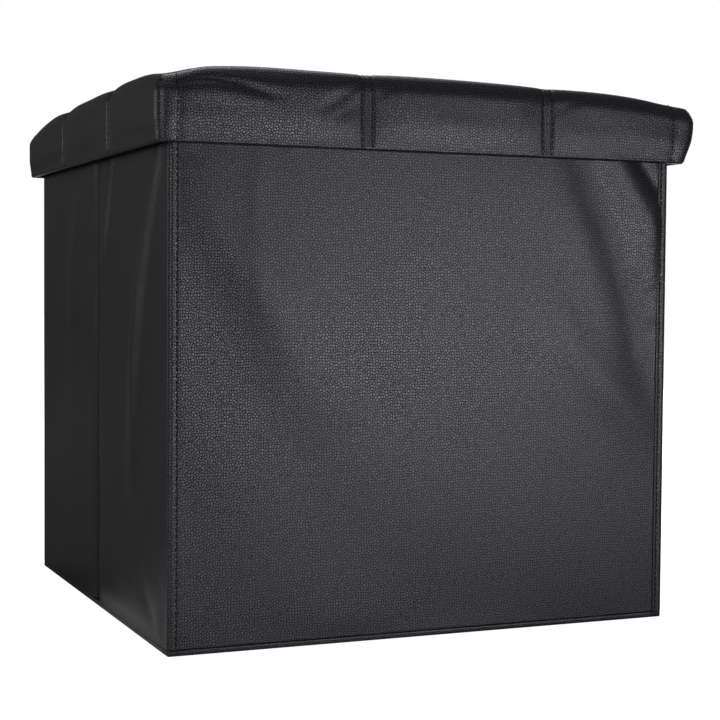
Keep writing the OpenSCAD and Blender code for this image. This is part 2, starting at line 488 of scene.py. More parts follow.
front_cover = cover_sheet(
    "front_cover", (-WALL + LAP_T, -WALL + WALL_T - END_IN), -QUARTER, wall_moves, wall_fine, front_relief
)
back_cover = cover_sheet(
    "back_cover", (WALL - LAP_T, WALL - WALL_T + END_IN), QUARTER, wall_moves, wall_fine, back_relief
)
for piece, body, node in ((front_cover, "front", "front_skin"), (back_cover, "back", "back_skin")):
    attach(piece, body)
    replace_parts(piece, node)
print("front cover:", len(front_cover.data.polygons), "faces")

# %% [markdown]
# ## Side covers
# A side wall is two half boards with a pressed fold between them. The cloth dips toward the fold from both
# sides, rolls round each half board's edge, and at the corner turns and laps onto the front or back wall.
# The right-hand front corner is where the model's closed loop of hinges is opened, so there the lap is a
# strip of its own.

# %% Side plan: from the fold to the lap, and from the lap to the fold
FOLD_R = 1.1 * MM
FOLD_GAP = 0.25 * MM
FOLD_IN = 3.6 * MM
LAP_R = 3.0 * MM
STITCH_IN = 5.4 * MM
lap_out = WALL + LAP_T
fold_moves = [(FOLD_IN - FOLD_R, 0), (FOLD_R * QUARTER, QUARTER)]
side_run = lap_out - LAP_R - FOLD_GAP - FOLD_R
lap_moves = [(LAP_R * QUARTER, QUARTER), (LAP_W - LAP_R, 0)]
to_lap = [*fold_moves, (side_run, 0), *lap_moves]
to_fold = [*reversed(lap_moves), (side_run, 0), *reversed(fold_moves)]
side_length = sum(length for length, turn in to_lap)
fold_length = sum(length for length, turn in fold_moves)
lap_length = sum(length for length, turn in lap_moves)
to_lap_fine = [(0, fold_length + MM, FINE), (side_length - lap_length - MM, side_length, FINE)]
to_fold_fine = [(0, lap_length + MM, FINE), (side_length - fold_length - MM, side_length, FINE)]

STITCH_PITCH = 4.0 * MM
FOLD_DIP = 1.4 * MM
DIP_W = 0.007


def lap_press(points):
    """The stitches press the lap down along their row, a little more at each needle hole."""
    across = np.abs(np.abs(points[..., 0]) - (WALL - STITCH_IN))
    on_lap = np.abs(points[..., 1]) > WALL
    pull = 0.75 + 0.25 * np.cos(math.tau * points[..., 2] / STITCH_PITCH)
    return np.where(on_lap, -0.34 * MM * pull * np.exp(-((across / (0.7 * MM)) ** 2)), 0)


def side_relief(seed, folds, bulge):
    """Relief for half a side wall: slack, folds, a dip at the middle fold and a bulge near the floor."""

    def relief(points):
        u, v = points[..., 1], points[..., 2]
        out = ripple(u, v, seed, 0.25 * MM, 0.09)
        for line, height, width, end_width in folds:
            out += crease(u, v, line, height, width, end_width)
        out += bulge * (1 - fades(v, 0.0, 0.11)) * fades(np.abs(u), 0.004, 0.03)
        held = fades(v, COVER_Z, COVER_Z + 0.012) * (1 - fades(v, WALL_TOP - 0.02, WALL_TOP))
        out *= (1 - fades(np.abs(u), WALL - 0.018, WALL - 0.004)) * np.maximum(held, 0.35)
        out *= fades(np.abs(u), 2 * MM, 12 * MM)
        out -= FOLD_DIP * np.exp(-((u / DIP_W) ** 2))
        return out + lap_press(points)

    return relief


def side_wrap(plan):
    """The cloth wraps fully over the half board and hardly at all over the lap."""
    return 1 - 0.85 * fades(np.abs(plan[:, 1]), WALL - 0.009, WALL - 0.003)


# %% Make the four side covers
LONG_RIDGE = [
    (-0.165, 0.325),
    (-0.152, 0.298),
    (-0.137, 0.272),
    (-0.118, 0.235),
    (-0.103, 0.190),
    (-0.095, 0.100),
]
SHORT_RIDGE = [(-0.047, 0.328), (-0.034, 0.295), (-0.021, 0.262), (-0.012, 0.236)]
GATHER = [(-0.095, 0.055), (-0.130, 0.032), (-0.165, 0.012)]
FRONT_HALF_FOLDS = [
    (LONG_RIDGE, 3.0 * MM, 0.006, 0.013),
    (SHORT_RIDGE, 1.8 * MM, 0.006, 0.005),
    (GATHER, -1.6 * MM, 0.012, 0.006),
]
REAR_HALF_FOLDS = [([(0.05, 0.32), (0.075, 0.25), (0.08, 0.17)], 1.2 * MM, 0.010, 0.016)]
RIGHT_FRONT_FOLDS = [([(-0.15, 0.32), (-0.12, 0.26), (-0.105, 0.19)], 2.2 * MM, 0.008, 0.014)]
RIGHT_REAR_FOLDS = [([(0.14, 0.31), (0.11, 0.24), (0.10, 0.16)], 1.6 * MM, 0.009, 0.015)]
fold_x = WALL - FOLD_IN
lap_x = WALL - LAP_W
SPLIT = WALL - WALL_T
SPLIT_R = 0.9 * MM
split_run = SPLIT - 2 * FOLD_GAP - SPLIT_R - FOLD_R
split_moves = [(FOLD_IN - SPLIT_R, 0), (SPLIT_R * QUARTER, QUARTER)]
from_split = [*split_moves, (split_run, 0), *reversed(fold_moves)]
from_split_fine = [(0, FOLD_IN + MM, FINE), (FOLD_IN + split_run, FOLD_IN + split_run + fold_length, FINE)]
plans = {
    "left_front": ((-fold_x, -FOLD_GAP), math.pi, to_lap, to_lap_fine),
    "left_rear": ((-lap_x, lap_out), math.pi, to_fold, to_fold_fine),
    "right_rear": ((fold_x, FOLD_GAP), 0, to_lap, to_lap_fine),
    "right_front": ((fold_x, -SPLIT + FOLD_GAP), 0, from_split, from_split_fine),
}
reliefs = {
    "left_front": side_relief(5, FRONT_HALF_FOLDS, 2.2 * MM),
    "left_rear": side_relief(6, REAR_HALF_FOLDS, 0),
    "right_rear": side_relief(7, RIGHT_REAR_FOLDS, 0),
    "right_front": side_relief(9, RIGHT_FRONT_FOLDS, MM),
}
covers = {}
for half, plan in plans.items():
    hand, place = half.split("_")
    wall = "front" if place == "front" else "back"
    out_x = -1 if hand == "left" else 1
    out_y = -1 if wall == "front" else 1
    covers[half] = cover_sheet(f"{half}_cover", *plan, reliefs[half], side_wrap)
    if half == "right_front":
        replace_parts(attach(covers[half], half), "right_front_skin")
        continue
    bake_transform(covers[half])
    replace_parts(covers[half], f"{half}_skin", f"{wall}_{hand}_lap")

corner_moves = [*reversed(lap_moves), (lap_out - LAP_R - SPLIT, 0)]
corner_length = sum(length for length, turn in corner_moves)
corner_fine = [(0, corner_length, FINE)]
corner_plan = ((lap_x, -lap_out), 0, corner_moves, corner_fine)
corner_lap = cover_sheet("right_corner_lap", *corner_plan, lap_press, side_wrap)
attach(corner_lap, "front")
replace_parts(corner_lap, "front_right_lap")
covers["right_corner"] = corner_lap
print({name: len(cover.data.polygons) for name, cover in covers.items()})

# %% [markdown]
# ## The pressed fold
# Between the half boards the cloth has nothing behind it and is creased into a thin line. It is the hinge
# itself, made as one thin strip on each side, with a ridge down its middle.


# %% Fold strips
STRIP_W = 2.2 * MM
STRIP_T = 0.5 * MM
STRIP_ROWS = 60
STRIP_COLUMNS = 8
strip_out = WALL - FOLD_DIP - 0.25 * MM


def strip(name, corner_low, corner_high, cells):
    """A closed thin block of leathercloth, with cells along its height."""
    (x0, y0, z0), (x1, y1, z1) = corner_low, corner_high
    across = np.linspace(y0, y1, STRIP_COLUMNS)
    up = np.linspace(z0, z1, cells)
    peak = 1 - np.abs(np.linspace(-1, 1, len(across)))
    front = np.array([[(x0 + (x0 - x1) * lift, y, z) for y, lift in zip(across, peak)] for z in up])
    rear = np.array([[(x1, y, z) for y in across] for z in up])
    points = np.concatenate([front.reshape(-1, 3), rear.reshape(-1, 3)])
    return make_piece(name, points, shell_faces(cells, len(across)), leather)


for hand, out_x in (("left", -1), ("right", 1)):
    crease_strip = strip(
        f"{hand}_fold_strip",
        (out_x * strip_out, -STRIP_W / 2, COVER_Z + MM),
        (out_x * (strip_out - STRIP_T), STRIP_W / 2, WALL_TOP - 2 * MM),
        STRIP_ROWS,
    )
    place = Vector((out_x * strip_out, 0, 0))
    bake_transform(crease_strip)
print("fold strips made")

# %% [markdown]
# ## Linings
# Inside, each board is faced with non-woven cloth whose edges are turned round the board, so a lining is a
# thin block that hides the board from the inside and at the ends.


# %% Wall linings and the base cover
INSET = 1.0 * MM
BLOCK_T = WALL_T - 1.2 * MM
TURNED = 0.5 * MM


def lined_block(name, centre, along, outward, size, bow):
    """A closed block with a slightly wavy face on the outward side; size is along, up and through."""
    length, height, depth = size
    u = np.linspace(-length / 2, length / 2, max(3, round(length / (6 * MM))))
    v = np.linspace(-height / 2, height / 2, max(3, round(height / (6 * MM))))
    grid_u, grid_v = np.meshgrid(u, v)
    up = np.cross(outward, along)
    edge = np.minimum(length / 2 - np.abs(grid_u), height / 2 - np.abs(grid_v))
    wave = ripple(grid_u, grid_v, len(name), bow, 0.09) * fades(edge, 0, 0.02)
    wave -= TURNED * (1 - fades(edge, 0, 1.5 * MM))
    base = np.array(centre) + grid_u[..., None] * np.array(along) + grid_v[..., None] * up
    face = base + (depth / 2 + wave[..., None]) * np.array(outward)
    rear = base - depth / 2 * np.array(outward)
    points = np.concatenate([face.reshape(-1, 3), rear.reshape(-1, 3)])
    return make_piece(name, points, shell_faces(*grid_u.shape), lining)


for body in ("front", "back", "left_front", "left_rear", "right_rear", "right_front"):
    low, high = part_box(f"{body}_skin")
    centre, size = (low + high) / 2, high - low
    if body in ("front", "back"):
        outward = np.array((0.0, 1.0 if body == "front" else -1.0, 0.0))
        length = size.x - 2 * (LAP_T + INSET)
    else:
        outward = np.array((1.0 if "left" in body else -1.0, 0.0, 0.0))
        length = size.y - 2 * INSET
    place = np.array(centre) + outward * (WALL_T - BLOCK_T) / 2
    along = np.cross((0.0, 0.0, 1.0), outward)
    block_size = (length, size.z - 2 * INSET, BLOCK_T)
    block = lined_block(f"{body}_inner", place, along, outward, block_size, 0.06 * MM)
    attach(block, body)
    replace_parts(block, f"{body}_lining")

under_low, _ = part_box("base_board")
pad_low = Vector((base_low.x - TURNED, base_low.y - TURNED, under_low.z - 0.05 * MM))
pad_high = Vector((base_high.x + TURNED, base_high.y + TURNED, base_high.z - 0.1 * MM))
pad_middle, pad_size = (pad_low + pad_high) / 2, tuple(pad_high - pad_low)
base_pad = lined_block("base_pad", pad_middle, (1.0, 0.0, 0.0), (0.0, 0.0, 1.0), pad_size, 0.04 * MM)
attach(base_pad, "back")
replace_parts(base_pad, "base_cover")
print("linings made")

# %% [markdown]
# ## A rounded box
# The lid's cover and the bottom cloth are both boxes with soft edges. One builder makes them: a grid over
# the top, rings down the sides, and any more rings that turn in under the edge. A point of the sharp box is
# moved onto the rounded one by measuring it from the box's inner core.


# %% Rounded box
def ring_order(cols, rows):
    """Indices of a grid's border points, anticlockwise from the front left corner."""
    index = np.arange(cols * rows).reshape(rows, cols)
    return np.concatenate([index[0, :-1], index[:-1, -1], index[-1, :0:-1], index[:0:-1, 0]])


def rounded_box(xs, ys, top, rings, radii):
    """Points, outward directions, sharp-box points and faces of a closed box; rings are (inset, height)."""
    half = xs[-1]
    grid = np.stack(np.meshgrid(xs, ys), -1).reshape(-1, 2)
    flat = np.concatenate([grid, np.full((len(grid), 1), top)], 1)
    border = ring_order(len(xs), len(ys))
    sharp, inset = [flat], [np.zeros(len(flat))]
    for step_in, height in rings:
        across = np.clip(flat[border, :2], -half + step_in, half - step_in)
        sharp.append(np.concatenate([across, np.full((len(border), 1), height)], 1))
        inset.append(np.full(len(border), step_in))
    sharp, inset = np.concatenate(sharp), np.concatenate(inset)
    corner = np.maximum(radii[0] - inset, 0.4 * MM)[:, None]
    core = np.clip(sharp[:, :2], -half + inset[:, None] + corner, half - inset[:, None] - corner)
    level = np.minimum(sharp[:, 2], top - radii[1])
    away = np.concatenate([(sharp[:, :2] - core) / corner, ((sharp[:, 2] - level) / radii[1])[:, None]], 1)
    away /= np.maximum(np.linalg.norm(away, axis=1, keepdims=True), 1e-9)
    scale = np.concatenate([corner, corner, np.full_like(corner, radii[1])], 1)
    points = np.concatenate([core, level[:, None]], 1) + away * scale
    outward = away / scale
    outward /= np.maximum(np.linalg.norm(outward, axis=1, keepdims=True), 1e-9)
    index = np.arange(len(flat)).reshape(len(ys), len(xs))
    quads = np.stack([index[:-1, :-1], index[:-1, 1:], index[1:, 1:], index[1:, :-1]], -1).reshape(-1, 4)
    faces = quads.tolist()
    upper = border
    for i in range(len(rings)):
        lower = len(flat) + i * len(border) + np.arange(len(border))
        faces += np.stack([upper, lower, np.roll(lower, -1), np.roll(upper, -1)], -1).tolist()
        upper = lower
    faces.append(upper.tolist())
    return points, outward, sharp, faces


# %% [markdown]
# ## Bottom cloth
# The same cloth closes the bottom. It is a shallow tray: it lies on the floor, and its edge is turned up
# all round as far as the walls' covers, with the base board inside it.

# %% Bottom cloth
RIM_TOP = rim_high.z - 0.05 * MM
RIM = WALL - 0.05 * MM
RIM_T = 1.1 * MM
RIM_END = 1.5 * MM
TRAY_Z = 0.7 * MM
rim_marks = [(-RIM, -RIM + RIM_END, 0.25 * MM), (RIM - RIM_END, RIM, 0.25 * MM)]
bottom_marks = marks(-RIM, RIM, 12 * MM, rim_marks)
bottom_rings = [(0, z * MM) for z in (3.6, 2.7, 1.8, 0.9)]
bottom_rings += [(0.2 * MM, 0.4 * MM), (0.8 * MM, 0), (4 * MM, 0)]
bottom_radii = (2 * MM, 0.2 * MM)
points, outward, sharp, faces = rounded_box(bottom_marks, bottom_marks, RIM_TOP, bottom_rings, bottom_radii)
in_tray = (np.max(np.abs(sharp[:, :2]), axis=1) < RIM - RIM_T) & (sharp[:, 2] > RIM_TOP - 0.1 * MM)
points[in_tray, 2] = TRAY_Z
bottom = make_piece("bottom_cover", points, faces, leather)
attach(bottom, "back")
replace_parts(bottom, "bottom_cloth")
print("bottom cloth:", len(faces), "faces")

# %% [markdown]
# ## Lid cover
# The lid is a board with foam on top and a skirt of narrow boards, under one cover of nine patches. Each
# seam between patches is sewn flat with a row of stitches on both sides of it, which pulls the cloth down
# into the foam, so every patch puffs up a little. At the skirt's lower edge the cover is turned in and
# stapled.

# %% Lid sizes and grid
EDGE = 13 * MM
LID_CORNER = 5.5 * MM
ROW_OUT = 3.4 * MM
LID_STEP = 3.6 * MM
LID_FINE = 0.85 * MM
seam_reach = ROW_OUT + 2.6 * MM


def lid_marks(seams):
    """Grid lines across the lid, closer together at the seams and at the rounded edges."""
    fine = [(-LID, -LID + EDGE + MM, 2 * MM), (LID - EDGE - MM, LID, 2 * MM)]
    fine += [(seam - seam_reach, seam + seam_reach, LID_FINE) for seam in seams]
    return marks(-LID, LID, LID_STEP, fine)


xs, ys = lid_marks(SEAMS_X), lid_marks(SEAMS_Y)
skirt_levels = marks(LID_Z + 2 * MM, LID_TOP - 1.6 * MM, 2.3 * MM)[::-1]
HEM_IN = LID - LID_IN
HEM_H = 15 * MM
HEM_T = 0.9 * MM
lid_rings = [(0, z) for z in skirt_levels]
lid_rings += [(0, LID_Z + 1.2 * MM), (0.35 * MM, LID_Z + 0.45 * MM), (1.2 * MM, LID_Z), (HEM_IN - MM, LID_Z)]
lid_rings += [(HEM_IN, LID_Z + 0.6 * MM), (HEM_IN, LID_Z + HEM_H - 0.5 * MM)]
lid_rings += [(HEM_IN - HEM_T, LID_Z + HEM_H), (HEM_IN - HEM_T, hem_high.z + MM)]
points, outward, sharp, faces = rounded_box(xs, ys, LID_TOP, lid_rings, (LID_CORNER, EDGE))
on_skin = len(xs) * len(ys) + len(skirt_levels) * len(ring_order(len(xs), len(ys)))
print("lid cover:", len(points), "points,", on_skin, "of them on the outside")


# %% Puff and seams
def seam_gap(sharp, seams, axis):
    """Distance from a point of the sharp box to the nearest seam that crosses that axis."""
    along = sharp[:, axis]
    gap = np.min([np.abs(along - seam) for seam in seams], axis=0)
    on_side = np.abs(np.abs(along) - LID) < 1e-6
    return np.where(on_side, 1.0, gap)


gap_x, gap_y = seam_gap(sharp, SEAMS_X, 0), seam_gap(sharp, SEAMS_Y, 1)
on_top = fades(sharp[:, 2], LID_TOP - EDGE, LID_TOP - 1e-5)
near_hem = fades(sharp[:, 2], LID_Z + 2 * MM, LID_Z + 20 * MM)
skin = np.arange(len(sharp)) < on_skin

SEAM_FLAT, PUFF_REACH = 2 * MM, 17 * MM
EDGE_PUFF, MID_PUFF, SIDE_PUFF = 1.0 * MM, 4.0 * MM, 1.5 * MM
SEAM_PULL = 0.6 * MM


def puffed(gap):
    """How far the foam has risen at a distance from a seam: 0 at it, 1 well away from it."""
    return 1 - np.exp(-((np.maximum(gap - SEAM_FLAT, 0) / PUFF_REACH) ** 1.1))


puff = puffed(gap_x) * puffed(gap_y)
edge_gap = LID - np.max(np.abs(sharp[:, :2]), axis=1)
top_puff = EDGE_PUFF + (MID_PUFF - EDGE_PUFF) * fades(edge_gap, 15 * MM, 60 * MM)
lift = puff * (top_puff * on_top + SIDE_PUFF * (1 - on_top)) * near_hem
lift -= SEAM_PULL * on_top
lift = np.where(skin, lift, 0)
print("puff from", round(float(lift.min() / MM), 2), "to", round(float(lift.max() / MM), 2), "mm")

# %% [markdown]
# The foam is worn down a little toward the right and the back, and it is thin at the corners, where the
# cover has pulled it round. So the top sags there, and the sides below it are shorter in proportion.

# %% Sag
CORNER_SAG = [
    ((-1, -1), 4.5 * MM, 0.030),
    ((1, -1), 7.5 * MM, 0.034),
    ((-1, 1), 8 * MM, 0.044),
    ((1, 1), 6 * MM, 0.034),
]
RIGHT_SAG, BACK_SAG, LEFT_SAG = 3.2 * MM, 3.0 * MM, 3.5 * MM


def sag(x, y):
    """How far the top sags at a place, in metres."""
    total = np.hypot(RIGHT_SAG * fades(x, -0.02, 0.17), BACK_SAG * fades(y, -0.12, 0.19))
    total = total + LEFT_SAG * (1 - fades(x, -LID + 4 * MM, -LID + 34 * MM))
    for (out_x, out_y), depth, reach in CORNER_SAG:
        gap = np.hypot(x - out_x * LID, y - out_y * LID)
        total = total + depth * np.exp(-((gap / reach) ** 1.5))
    return total


height_share = np.clip((points[:, 2] - LID_Z) / (LID_TOP - LID_Z), 0, 1)
lid_shape = points + outward * lift[:, None]
lid_shape[:, 2] -= np.where(skin, sag(sharp[:, 0], sharp[:, 1]) * height_share, 0)
print("the front right corner sags", round(float(sag(LID, -LID) / MM), 1), "mm")

# %% [markdown]
# ## Seams, creases and the finished cover
# The rows of stitches and the seam between them are pressed into the puffed shape, where the grid is fine
# enough to hold them. The skirt's corners have one row each, its front has a few folds, and it is bowed out
# at the right-hand end. All of it is relief worked out from the distances to the seams and the edges.

# %% Folds in the lid's front
TUCK = [(-0.184, 0.360), (-0.163, 0.3605), (-0.140, 0.357), (-0.112, 0.350)]
TUCK_ROLL = [(-0.178, 0.353), (-0.150, 0.351), (-0.120, 0.345)]
PUCKERS = [
    ([(-0.085, 0.341), (-0.070, 0.352), (-0.057, 0.362)], -0.9 * MM),
    ([(-0.079, 0.334), (-0.067, 0.343), (-0.057, 0.351)], -0.6 * MM),
    ([(-0.047, 0.352), (-0.038, 0.359), (-0.030, 0.362)], -0.5 * MM),
    ([(0.060, 0.349), (0.068, 0.357), (0.075, 0.363)], -0.6 * MM),
    ([(0.085, 0.350), (0.095, 0.357), (0.106, 0.360)], -0.6 * MM),
]


def lid_front_folds(x, z):
    """The tuck at the left and the puckers beside the seams, in metres."""
    total = crease(x, z, TUCK, -1.5 * MM, 0.0025) + crease(x, z, TUCK_ROLL, 0.9 * MM, 0.006)
    for line, height in PUCKERS:
        total += crease(x, z, line, height, 0.0028)
    return total


print("lid front folds:", 2 + len(PUCKERS))

# %% Press the seams and make the cover
CORNER_ROW = LID - 12 * MM
ROW_PRESS, DITCH_PRESS, CORNER_PRESS = 0.6 * MM, 0.4 * MM, 0.45 * MM
BAND = 0.3 * MM
RIGHT_BULGE = 6.5 * MM
row_gap = np.minimum(np.abs(gap_x - ROW_OUT), np.abs(gap_y - ROW_OUT))
ditch_gap = np.minimum(gap_x, gap_y)
on_end = np.abs(np.abs(sharp[:, 1]) - LID) < 1e-6
corner_gap = np.where(on_end & (on_top < 0.5), np.abs(np.abs(sharp[:, 0]) - CORNER_ROW), 1.0)
press = -ROW_PRESS * np.exp(-((row_gap / (1.0 * MM)) ** 2))
press -= DITCH_PRESS * np.exp(-((ditch_gap / (0.8 * MM)) ** 2))
press -= CORNER_PRESS * np.exp(-((corner_gap / (0.9 * MM)) ** 2))
press += ripple(sharp[:, 0] + sharp[:, 2], sharp[:, 1] - sharp[:, 2], 12, 0.18 * MM, 0.07)
rise = fades(sharp[:, 2], LID_Z - 6 * MM, LID_Z + 33 * MM)
right_bulge = RIGHT_BULGE * rise * fades(sharp[:, 0], LID - 24 * MM, LID + 2 * MM)
band = fades(-sharp[:, 0], CORNER_ROW + 0.6 * MM, CORNER_ROW + 1.4 * MM)
press += np.where(on_end & (on_top < 0.5), BAND * band, 0)
on_front = sharp[:, 1] < -LID + 1e-6
press += np.where(on_front, lid_front_folds(sharp[:, 0], sharp[:, 2]), 0)
press *= fades(sharp[:, 2], LID_Z, LID_Z + 4 * MM)
lid_shape = lid_shape + outward * np.where(skin, press, 0)[:, None]
lid_shape[:, 0] += np.where(skin, right_bulge, 0)
lid_cover = make_piece("lid_cover", lid_shape, faces, leather)
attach(lid_cover, "lid")
patches = [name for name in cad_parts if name.startswith("lid_patch")]
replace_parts(lid_cover, "lid_foam", *patches)
print("lid cover stands for", len(patches) + 1, "solids")

# %% Lining under the lid
under = (0.0, 0.0, hem_high.z - 0.4 * MM)
sheet_size = (2 * LID_IN, 2 * LID_IN, 0.7 * MM)
lid_inner = lined_block("lid_inner", under, (-1.0, 0.0, 0.0), (0.0, 0.0, -1.0), sheet_size, 0.05 * MM)
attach(lid_inner, "lid")
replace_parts(lid_inner, "lid_lining")
print("lid lining made")

# %% [markdown]
# ## Stitches
# A stitch is a short capsule of thread, half sunk in the cloth, and a row is hundreds of them along a path.
# A Geometry Nodes tree places them: the path becomes a curve, the curve is cut into steps of one stitch,
# and a capsule is set on each point, turned along the row. The result is kept as a plain mesh.


# %% Stitch tree
STITCH_L = 3.0 * MM
STITCH_R = 0.36 * MM
SUNK = 0.05 * MM


def stitch_tree():
    """A node group that turns a line of edges into a row of stitches."""
    tree = bpy.data.node_groups.new("stitch_rows", "GeometryNodeTree")
    face = tree.interface
    face.new_socket("Geometry", in_out="INPUT", socket_type="NodeSocketGeometry")
    sockets = {}
    for name in ("Pitch", "Length", "Radius"):
        sockets[name] = face.new_socket(name, in_out="INPUT", socket_type="NodeSocketFloat").identifier
    sockets["Thread"] = face.new_socket("Thread", in_out="INPUT", socket_type="NodeSocketMaterial").identifier
    face.new_socket("Geometry", in_out="OUTPUT", socket_type="NodeSocketGeometry")
    make, link = tree.nodes.new, tree.links.new
    start, end = make("NodeGroupInput"), make("NodeGroupOutput")
    curve, steps = make("GeometryNodeMeshToCurve"), make("GeometryNodeResampleCurve")
    steps.mode = "LENGTH"
    tangent, turn = make("GeometryNodeInputTangent"), make("FunctionNodeAlignRotationToVector")
    ball, size = make("GeometryNodeMeshUVSphere"), make("ShaderNodeCombineXYZ")
    ball.inputs["Segments"].default_value = 8
    ball.inputs["Rings"].default_value = 6
    ball.inputs["Radius"].default_value = 1.0
    half = make("ShaderNodeMath")
    half.operation = "MULTIPLY"
    half.inputs[1].default_value = 0.5
    place, real = make("GeometryNodeInstanceOnPoints"), make("GeometryNodeRealizeInstances")
    paint = make("GeometryNodeSetMaterial")
    link(start.outputs["Geometry"], curve.inputs["Mesh"])
    link(curve.outputs["Curve"], steps.inputs["Curve"])
    link(start.outputs["Pitch"], steps.inputs["Length"])
    link(start.outputs["Length"], half.inputs[0])
    link(start.outputs["Radius"], size.inputs["X"])
    link(start.outputs["Radius"], size.inputs["Y"])
    link(half.outputs["Value"], size.inputs["Z"])
    link(tangent.outputs["Tangent"], turn.inputs["Vector"])
    link(steps.outputs["Curve"], place.inputs["Points"])
    link(ball.outputs["Mesh"], place.inputs["Instance"])
    link(turn.outputs["Rotation"], place.inputs["Rotation"])
    link(size.outputs["Vector"], place.inputs["Scale"])
    link(place.outputs["Instances"], real.inputs["Geometry"])
    link(real.outputs["Geometry"], paint.inputs["Geometry"])
    link(start.outputs["Thread"], paint.inputs["Material"])
    link(paint.outputs["Geometry"], end.inputs["Geometry"])
    return tree, sockets


rows_tree, row_sockets = stitch_tree()


def stitch_rows(name, rows, body):
    """One mesh piece with a row of stitches along each list of points."""
    points, edges = [], []
    for row in rows:
        edges += [(len(points) + i, len(points) + i + 1) for i in range(len(row) - 1)]
        points += [tuple(p) for p in row]
    mesh = bpy.data.meshes.new(name + "_path")
    mesh.from_pydata(points, edges, [])
    path = bpy.data.objects.new(name + "_path", mesh)
    bpy.context.scene.collection.objects.link(path)
    rows_of = path.modifiers.new("Rows", "NODES")
    rows_of.node_group = rows_tree
    values = {"Pitch": STITCH_PITCH, "Length": STITCH_L, "Radius": STITCH_R, "Thread": thread}
    for key, value in values.items():
        rows_of[row_sockets[key]] = value
    evaluated = path.evaluated_get(bpy.context.evaluated_depsgraph_get())
    made = bpy.data.meshes.new_from_object(evaluated)
    bpy.data.objects.remove(path)
    made.name = name
    piece = bpy.data.objects.new(name, made)
    bpy.context.scene.collection.objects.link(piece)
    for face in made.polygons:
        face.use_smooth = True
    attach(piece, body)
    print(name, len(rows), "rows,", len(made.polygons), "faces")
    return piece


def laid_on(piece, places, directions, lift):
    """Each place moved along its direction onto the piece's surface, and lifted off it a little."""
    tree = BVHTree.FromObject(piece, bpy.context.evaluated_depsgraph_get())
    found = []
    for place, direction in zip(places, directions):
        way = Vector(direction)
        hit, normal, _, _ = tree.ray_cast(Vector(place) + way * 0.02, -way, 0.06)
        if hit is not None:
            found.append(hit + way * lift)
    return found


# %% [markdown]
# The rows on the lid run up the skirt, over the top and down the far side, a few millimetres from each
# seam. The rows on the walls run down the laps.

# %% Stitch the lid
def over_lid(across, axis):
    """Sharp-box points of a row that crosses the lid at one place, from hem to hem."""
    rise = np.arange(LID_Z + 2.5 * MM, LID_TOP, 1.5 * MM)
    run = np.arange(-LID, LID, 2 * MM)
    end = np.full_like(rise, LID)
    along = np.concatenate([-end, run, end])
    height = np.concatenate([rise, np.full_like(run, LID_TOP), rise[::-1]])
    side = np.full_like(along, across)
    pair = (side, along) if axis == 0 else (along, side)
    return np.stack([*pair, height], -1)


def on_rounded(sharp_points):
    """Places and outward directions on the rounded lid for points of the sharp box."""
    inner = np.array([LID - LID_CORNER, LID - LID_CORNER, LID_TOP - EDGE])
    core = np.clip(sharp_points, (-inner[0], -inner[1], -1), inner)
    radii = np.array([LID_CORNER, LID_CORNER, EDGE])
    away = (sharp_points - core) / radii
    away /= np.linalg.norm(away, axis=1, keepdims=True)
    direction = away / radii
    return core + away * radii, direction / np.linalg.norm(direction, axis=1, keepdims=True)


lid_rows = []
for axis, seams in ((0, SEAMS_X), (1, SEAMS_Y)):
    for seam in seams:
        for hand in (-1, 1):
            row = over_lid(seam + hand * ROW_OUT, axis)
            lid_rows.append(laid_on(lid_cover, *on_rounded(row), SUNK))
for out_x in (-1, 1):
    for out_y in (-1, 1):
        rise = np.arange(LID_Z + 2.5 * MM, LID_TOP - EDGE / 2, 1.5 * MM)
        row = np.stack([np.full_like(rise, out_x * CORNER_ROW), np.full_like(rise, out_y * LID), rise], -1)
        lid_rows.append(laid_on(lid_cover, *on_rounded(row), SUNK))
stitch_rows("lid_stitches", lid_rows, "lid")

# %% Stitch the laps
for wall, out_y in (("front", -1), ("back", 1)):
    rows = []
    for hand, out_x in (("left", -1), ("right", 1)):
        rise = np.arange(WALL_Z + 3 * MM, WALL_TOP - 3 * MM, 2 * MM)
        places = [(out_x * (WALL - STITCH_IN), out_y * lap_out, z) for z in rise]
        ways = [(0, out_y, 0)] * len(places)
        half = f"{hand}_front" if wall == "front" else f"{hand}_rear"
        half = "right_corner" if half == "right_front" else half
        rows.append(laid_on(covers[half], places, ways, 0.08 * MM))
    stitch_rows(f"{wall}_lap_stitches", rows, wall)

# %% [markdown]
# ## Boards and staples
# The boards keep the CAD solids and only get a colour; they are hidden in their covers. So do the staples,
# whose crowns show inside the lid's skirt.

# %% Paint the CAD solids
for name in board_nodes:
    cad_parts[name].data.materials.clear()
    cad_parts[name].data.materials.append(board)
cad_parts["lid_staples"].data.materials.clear()
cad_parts["lid_staples"].data.materials.append(steel)
print("painted", len(board_nodes) + 1, "solids")

# %% [markdown]
# ## Floor, light and camera
# A pale floor under a white backdrop, in a dim room. The floor that the camera sees is plain and pale; the
# one that the glossy cloth mirrors is shaded, darker to the left in front and to the right behind, so every
# side keeps its tone. One soft light stands low to the right and in front, where the front wall mirrors it,
# and brings out the grain. Weaker ones from the left, from behind and from above keep the other sides
# readable.


# %% Floor
GLOW = (0.84, 1.0)
GLOW_REACH = (0.5, 2.2)
FLOOR_SHADES = (0.1, 0.95)
SHADE_RANGE = (-0.3, 0.15)
REACH = 12.0


